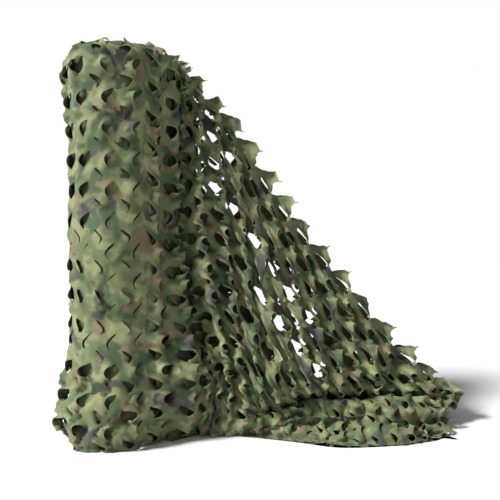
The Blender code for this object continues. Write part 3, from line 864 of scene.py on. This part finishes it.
# The cut cloth itself, the outer turn and the loose end in one length. It is laid on the form and then
# settles by its own stiffness, so that its tongues curl and its cuts open as the pull on them allows.
# How it draws back from its cuts on the roll: height, share of its size that it keeps, curl of its tongues.
ROLL_OPENING = np.array((
    (0.00, 0.72, 0.048), (0.12, 0.74, 0.050), (0.24, 0.86, 0.032), (0.36, 0.970, 0.007), (0.90, 0.970, 0.007),
    (1.05, 0.94, 0.012), (1.20, 0.86, 0.020), (1.49, 0.84, 0.020),
))


def on_net(flat_x, flat_y):
    """Place on the hung form of any point of the length: the outer turn before 0, the loose end after it."""
    rolled = on_roll(flat_x, flat_y, OUTER_OFF)
    return np.where((flat_x < 0)[:, None], rolled, on_loose_end(flat_x, flat_y))


def eased_stretch(place_of, flat, most, least):
    """How the cloth's resting shape is drawn in at each point, as a matrix: never wider than most, and
    following the hung form down to least where that gathers the cloth."""
    tiny = 0.004
    along, down = (slope / (2 * tiny) for slope in slopes_of(place_of, *flat.T, tiny))
    e, f, g = (along**2).sum(1), (along * down).sum(1), (down**2).sum(1)
    middle, spread = 0.5 * (e + g), np.sqrt(0.25 * (e - g)**2 + f * f)
    wide = most * np.minimum(np.sqrt(middle + spread), 1)
    narrow = most * np.clip(np.sqrt(np.maximum(middle - spread, 0)), least, 1)
    turn = 0.5 * np.arctan2(2 * f, e - g)
    axis = np.stack([np.cos(turn), np.sin(turn)], 1)
    lengthen = (wide - narrow)[:, None, None] * axis[:, :, None] * axis[:, None, :]
    return narrow[:, None, None] * np.eye(2) + lengthen


PATCHES = 3                    # how many patches each point lies in at least
LEAST_THICK = 0.04             # a patch grows while it is a thinner strip than this
KNOTS = 1.5                    # knots to a cell, by which the form holds the net


def patch_middles(points, members, numbers, size):
    """The middle of each patch."""
    return np.stack([np.bincount(numbers, column[members]) / size for column in points.T], axis=1)


def stiff_patches(mesh, flat, curl):
    """Small overlapping patches: members, patch numbers and sizes, and the resting shape, which is the flat
    cloth with its curl."""
    beside = [[] for _ in range(len(mesh.vertices))]
    for one, other in read_all(mesh.edges, "vertices", 2, np.int32).reshape(-1, 2).tolist():
        beside[one].append(other)
        beside[other].append(one)
    members, numbers = [], []
    covered = np.zeros(len(beside), int)
    number = 0
    for centre in range(len(beside)):
        if covered[centre] >= PATCHES:
            continue
        patch = {centre}
        thick = 0
        ring = 0
        while ring < 2 or thick < LEAST_THICK and ring < 6:
            patch = patch.union(*(beside[near] for near in patch))
            spread = np.linalg.eigvalsh(np.cov(flat[list(patch)].T)) if ring else (0, 1)
            thick = spread[0] / spread[1]
            ring += 1
        patch = list(patch)
        covered[patch] += 1
        members += patch
        numbers += [number] * len(patch)
        number += 1
    members, numbers = np.array(members), np.array(numbers)
    size = np.bincount(numbers).astype(float)
    shape = flat[members] - patch_middles(flat, members, numbers, size)[numbers]
    rise = curl[members] - (np.bincount(numbers, curl[members]) / size)[numbers]
    # The mean slope of the curl is taken out, since each patch turns freely.
    x, y = shape.T
    a, b, c, p, q = (np.bincount(numbers, part) for part in (x**2, x * y, y**2, x * rise, y * rise))
    det = a * c - b * b
    rise -= ((c * p - b * q) / det)[numbers] * x + ((a * q - b * p) / det)[numbers] * y
    return members, numbers, size, shape, rise


def settle(mesh, flat, place, form, rounds, hold, shrink, curl, pull, clear, reach):
    """Lets the cut cloth find its own hang. Each small patch keeps its resting shape, each part of the net
    keeps its place on the hung form by its own hold, and pull draws the leaves down and out."""
    members, numbers, size, shape, rise = stiff_patches(mesh, flat, curl)
    shape = np.einsum("nij,nj->ni", shrink[members], shape)
    count = len(place)
    shared = np.bincount(members, minlength=count)

    # The form holds the net by a coarse lattice, so that single leaves are free.
    spot = np.stack([flat[:, 0] / PITCH * KNOTS, flat[:, 1] / DROP * KNOTS], axis=1)
    spot -= spot.min(0)
    base = np.floor(spot).astype(int)
    part = spot - base
    wide = base[:, 1].max() + 2
    corners = []
    for right, down in ((0, 0), (0, 1), (1, 0), (1, 1)):
        share = np.abs(1 - right - part[:, 0]) * np.abs(1 - down - part[:, 1])
        corners.append(((base[:, 0] + right) * wide + base[:, 1] + down, share * hold))
    knots = (base[:, 0].max() + 2) * wide
    weight = np.maximum(sum(np.bincount(at, share, knots) for at, share in corners), 1e-6)
    for _ in range(rounds):
        for axis in range(3):
            miss = form[:, axis] - place[:, axis]
            held = sum(np.bincount(at, share * miss, knots) for at, share in corners) / weight
            place[:, axis] += sum(held[at] * share for at, share in corners)
        place += pull
        middle = patch_middles(place, members, numbers, size)
        offset = place[members] - middle[numbers]
        # Each patch is turned to fit its points best, by the polar part of offsets times shape.
        turned = np.empty((len(size), 3, 2))
        for axis in range(3):
            for flat_axis in (0, 1):
                turned[:, axis, flat_axis] = np.bincount(numbers, offset[:, axis] * shape[:, flat_axis])
        one, two = turned[:, :, 0], turned[:, :, 1]
        a, b, c = (one**2).sum(1), (one * two).sum(1), (two**2).sum(1)
        root = np.sqrt(np.maximum(a * c - b * b, 1e-24))
        scale_root = np.sqrt(a + c + 2 * root)
        p, q, r = (a + root) / scale_root, b / scale_root, (c + root) / scale_root
        det = np.maximum(p * r - q * q, 1e-18)
        first = one * (r / det)[:, None] - two * (q / det)[:, None]
        second = two * (p / det)[:, None] - one * (q / det)[:, None]
        normal = np.cross(second, first)
        for axis in range(3):
            goal = middle[numbers, axis] + first[numbers, axis] * shape[:, 0]
            goal += second[numbers, axis] * shape[:, 1] + normal[numbers, axis] * rise
            place[:, axis] = np.bincount(members, goal, count) / shared
        place[:, 2] = np.maximum(place[:, 2], LYING)
        keep_off_roll(place, clear, reach)
    return place


ROLL_REACH = 0.27              # just beyond the roll's foot


def keep_off_roll(place, clear, reach):
    """Moves points that have come into the roll back out of it, and those too far off it back in."""
    x, y = place[:, 0] - ROLL_X, place[:, 1] - ROLL_Y
    near = np.flatnonzero((x * x + y * y < ROLL_REACH**2) & (place[:, 2] < NET_WIDTH - 0.02))
    radius = np.sqrt(x[near]**2 + y[near]**2) + 1e-9
    surface = roll_radius(np.arctan2(y[near], x[near]), place[near, 2])
    grow = np.minimum(np.maximum((surface + clear[near]) / radius, 1), (surface + reach[near]) / radius)
    place[near, 0] = ROLL_X + x[near] * grow
    place[near, 1] = ROLL_Y + y[near] * grow


def match_normals(mesh, normals, shared):
    """Shades both sides of a thickened cloth by the whole cloth's normals where two lengths of it meet."""
    corners = read_all(mesh.loops, "vertex_index", 1, np.int32)
    shading = np.array([tuple(corner.vector) for corner in mesh.corner_normals])
    count = len(normals)
    starts = np.array([face.loop_start for face in mesh.polygons])
    of_face = np.repeat(np.arange(len(starts)), np.diff(np.append(starts, len(corners))))
    rim = np.array([face.material_index == 2 for face in mesh.polygons])[of_face]
    at_join = shared[corners % count] & ~rim
    facing = np.where(corners < count, 1.0, -1.0)[:, None]
    shading[at_join] = (normals[corners % count] * facing)[at_join]
    mesh.normals_split_custom_set(shading.tolist())


net, flat = lay_out(FINE_CELL, ROLL_COLUMNS + LOOSE_COLUMNS)
flat[:, 0] -= ROLL_COLUMNS * PITCH
flat_x, flat_y = flat.T
side, kind = read_value(net, "cut_side"), read_value(net, "cut_kind")
near = np.abs(side)
weight = leaf_weight(net)
leaf = flat + np.stack([read_value(net, "corner_right"), read_value(net, "corner_down")], 1)
chance = soft_noise(leaf * 37, 5)
other_chance = soft_noise(leaf * 41, 6)

# The top selvedge of the loose end. A cut runs out at it in each cell, so the strip before the cut stands off
# the slant as a hooked beak: place between two cuts, shift along the net and out.
BEAK = np.array((
    (0.0, 0.016, -0.016), (0.2, 0.008, -0.002), (0.4, 0.002, 0.007), (0.6, 0.002, 0.011), (0.8, 0.006, 0.010),
    (1.0, 0.012, 0.003),
))
BEAK_DEPTH = 0.045             # how far down the net it reaches
BEAK_TILT = 0.050              # how far its tip stands off the slant
(mouth_x, mouth_y), (corner_x, corner_y), _, _ = CUTS[0]
slant = (mouth_x - corner_x) / (corner_y - mouth_y)
below = 0.68 * (flat_y - corner_y)
cut_x = corner_x + np.where(flat_y < corner_y, slant * (corner_y - flat_y), below)
between = ((flat_x - cut_x) / PITCH) % 1
beside_cut = (kind > 0) & (near > 0.3)
between = np.where(beside_cut & (side < 0) & (between < 0.5), 1.0, between)
between = np.where(beside_cut & (side > 0) & (between > 0.5), 0.0, between)
standing = ramp(flat_x, 0.30, 0.15) * (1 - 0.55 * ramp(flat_x, 0.85, 0.35))
standing *= 1 + 0.5 * soft_noise(np.floor((flat_x - cut_x) / PITCH) * 0.73, 8)
beak = from_table(BEAK, between)
beak *= (np.clip(1 - flat_y / BEAK_DEPTH, 0, 1) * standing)[:, None]
cut_flat = np.stack([flat_x + beak[:, 0], flat_y - beak[:, 1]], 1)
form = on_net(*cut_flat.T)
along, out, stretch = frame_of(on_net, flat_x, flat_y)
free = np.clip(1.3 - flat_y / BEAK_DEPTH, 0, 1) * np.minimum(standing, 1)
stand_off = BEAK_TILT * (between - 0.25) * free * standing
form += np.cross(out, along) * stand_off[:, None]

# Where the net is wound or loose, and where its loose end hangs free or rests on the floor or its own folds.
loose = ramp(flat_x, 0, 0.12)
wound = 1 - loose
tuck_at = GRID_ACROSS[np.argmax(np.where(GRID[:, :, 2] < 0.25, GRID[:, :, 1], -1.0), axis=1)]
tuck_at = np.interp(np.interp(flat_x, PULL[:, 0], PULL[:, 1]), GRID_ALONG, tuck_at)
lying = ramp(flat_y / NET_WIDTH, tuck_at, 0.04) * ramp(flat_x, 0.45, 0.15)
hanging = np.minimum(ramp(form[:, 2], 0.06, 0.12), 1 - lying)
resting = 1 - hanging
calm = 1 - 0.88 * loose * resting

# How far the cloth draws in: by the heights of ROLL_OPENING on the roll, and eased to its form off it.
LEAST_HANGING, LEAST_RESTING = 0.76, 0.55
angle = np.arctan2(form[:, 1] - ROLL_Y, form[:, 0] - ROLL_X)
shrink, curl = from_table(ROLL_OPENING, NET_WIDTH - flat_y).T
margin = np.abs(np.cos(angle)) ** 3
slow = soft_noise(flat * 5, 2)
uneven = soft_noise(flat * 10.5, 10)
shrink = shrink - 0.015 * margin + 0.02 * slow + 0.45 * (1 - shrink) * uneven
curl = curl + 0.002 * margin
least = LEAST_HANGING * hanging + LEAST_RESTING * resting
least = least + (1 - least) * np.clip(1.4 - flat_y / 0.08, 0, 1) * standing
in_pleat = np.exp(-((flat_x - 0.20) / 0.11)**4)
most = 0.96 + 0.02 * slow - 0.03 * see_through(flat) - 0.07 * in_pleat + 0.10 * resting
drape_shrink = eased_stretch(on_net, flat, most, least)
shrink = shrink[:, None, None] * np.eye(2) * wound[:, None, None] + drape_shrink * loose[:, None, None]

# Heights of its crumples, of the long folds on the floor and of its fine creases, and the tongues' curl.
CRUMPLE, LOOSE_CRUMPLE, LONG_FOLD = 0.0025, 0.0125, 0.046
CREASE, OPEN_CREASE, LOOSE_CREASE = 0.0042, 0.0045, 0.0055
LOOSE_CURL, FULL_CURL = 0.040, 0.020
crumple = soft_noise(flat * 7.5, 3)
crumple += 0.6 * soft_noise(flat * 15, 4)
crumple *= CRUMPLE + 0.85 * np.maximum(curl - 0.012, 0) * wound + LOOSE_CRUMPLE * loose * calm
crumple += LONG_FOLD * soft_noise(flat * (3.0, 15.0), 9) * loose * resting
opened = np.clip((curl - 0.010) / 0.010, 0, 2) * wound
lumps = soft_noise(flat * 13, 1)
curl = (curl * wound + LOOSE_CURL * loose) * np.clip(1 + 0.5 * lumps + 0.9 * chance, 0.1, 2.1) * calm
lift = curl / FULL_CURL
lift *= 1 - 0.65 * np.clip(1.5 - flat_y / 0.06, 0, 1)
curl = np.where(side > 0, curl, -0.45 * curl) * near**1.5 * weight
curl += soft_noise(flat * 21, 7) * (CREASE + OPEN_CREASE * opened + LOOSE_CREASE * loose * calm)

# How far each round of settling draws the cloth down by its weight, and a tongue out and its other side in.
LOOSE_WEIGHT, ROLL_WEIGHT, FOOT_WEIGHT = 0.0004, 0.0001, 0.0011
TONGUE_OUT, OTHER_IN = 0.0010, 0.0008
weigh = np.where(loose > 0, LOOSE_WEIGHT, ROLL_WEIGHT + FOOT_WEIGHT * foot_share(form[:, 2]) * near)
pull = weigh[:, None] * np.array([0.0, 0.0, -1.0])
lift *= np.where(side > 0, TONGUE_OUT, -OTHER_IN) * near * (0.65 + 0.35 * loose)
pull = pull + out * lift[:, None] + along * (other_chance * lift * 0.3)[:, None]

gape = 0.5 * np.clip((stretch - shrink[:, 0, 0]) * PITCH, 0.0, 0.03)
form += out * crumple[:, None]
form[:, 2] = np.maximum(form[:, 2], LYING)
place = form + along * (kind * np.sign(side) * near * weight * gape)[:, None] + out * curl[:, None]
place[:, 2] = np.maximum(place[:, 2], LYING)
# How near the roll's surface each point may come, and how far off it, which is further on its left.
clear = np.where(flat_x < 0.03, -0.006 - FOOT_DEPTH * foot_share(form[:, 2]), 0.003)
reach = np.where(flat_x < 0, 0.023 + 0.015 * np.clip(-np.cos(angle), 0, 1), 1.0)
rounds = 160
hold = 0.4 * (1 - 0.93 * free)
place = settle(net, cut_flat, place, form, rounds, hold, shrink, curl, pull, clear, reach)

faces = [tuple(face.vertices) for face in net.polygons]
before_zero = [flat[list(face), 0].mean() < 0 for face in faces]
net.vertices.foreach_set("co", place.ravel())
net.update()
whole_normals = np.array([tuple(point.vector) for point in net.vertex_normals])
for name, rolled, node, columns, held, rests_on in (
    ("roll_outer_turn", True, "net_roll", ROLL_COLUMNS, "folded", "second_turn"),
    ("loose_end_net", False, "net_loose_end", LOOSE_COLUMNS, "draped", "roll_outer_turn"),
):
    chosen = [face for face, before in zip(faces, before_zero) if before == rolled]
    used, chosen = keep_faces(chosen)
    item = add_piece(name, place[used], chosen, flat[used], [CAMOUFLAGE, REVERSE, CUT_EDGE])
    thicken(item)
    match_normals(item.data, whole_normals[used], np.abs(flat[used, 0]) < 0.0005)
    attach(item, "root")
    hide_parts(node)
for part in (FINE_CELL, COARSE_CELL):
    bpy.data.objects.remove(part)


# Studio: a plain pale floor, soft light from the upper left front, and the camera.
floor_mesh = bpy.data.meshes.new("floor")
floor_mesh.from_pydata([(-9, -6, 0), (9, -6, 0), (9, 12, 0), (-9, 12, 0)], [], [(0, 1, 2, 3)])
floor = new_object("floor", floor_mesh)
floor_paint = bpy.data.materials.new("pale_floor")
floor_paint.use_nodes = True
paint_tree = floor_paint.node_tree
set_inputs(paint_tree, paint_tree.nodes["Principled BSDF"], {
    "Base Color": (0.86, 0.86, 0.86, 1), "Roughness": 0.9})
floor_mesh.materials.append(floor_paint)

WHITE = (1.0, 1.0, 1.0, 1)
world = bpy.data.worlds.new("studio")
bpy.context.scene.world = world
world.use_nodes = True
sky = world.node_tree
soft_light = set_inputs(sky, sky.nodes["Background"], {"Color": WHITE, "Strength": 0.24})
white_wall = new_node(sky, "ShaderNodeBackground", {"Color": WHITE})
ray = new_node(sky, "ShaderNodeLightPath", {})
either = new_node(sky, "ShaderNodeMixShader", {
    0: ray.outputs["Is Camera Ray"], 1: soft_light.outputs[0], 2: white_wall.outputs[0]})
set_inputs(sky, sky.nodes["World Output"], {"Surface": either.outputs[0]})
AIM = Vector((-0.1, 0, 0.7))
for name, place, power, wide in (
    ("key", (-4.5, -2.4, 4.6), 5.7, 12.0),
    ("fill", (2.0, -3.4, 2.6), 0.06, 60.0),
):
    lamp = bpy.data.lights.new(name, "SUN")
    lamp.angle = math.radians(wide)
    lamp.energy = power
    light = new_object(name, lamp)
    light.location = place
    light.rotation_euler = (AIM - Vector(place)).to_track_quat("-Z", "Y").to_euler()
bpy.context.scene.view_settings.view_transform = "Standard"

lens = bpy.data.cameras.new("camera")
lens.lens = 44.46
lens.sensor_width = 36.0
camera = new_object("camera", lens)
camera.location = (-0.0677, -2.5028, 0.8334)
camera.rotation_euler = (math.radians(90 - 2.22), 0, math.radians(0.376))
bpy.context.scene.camera = camera
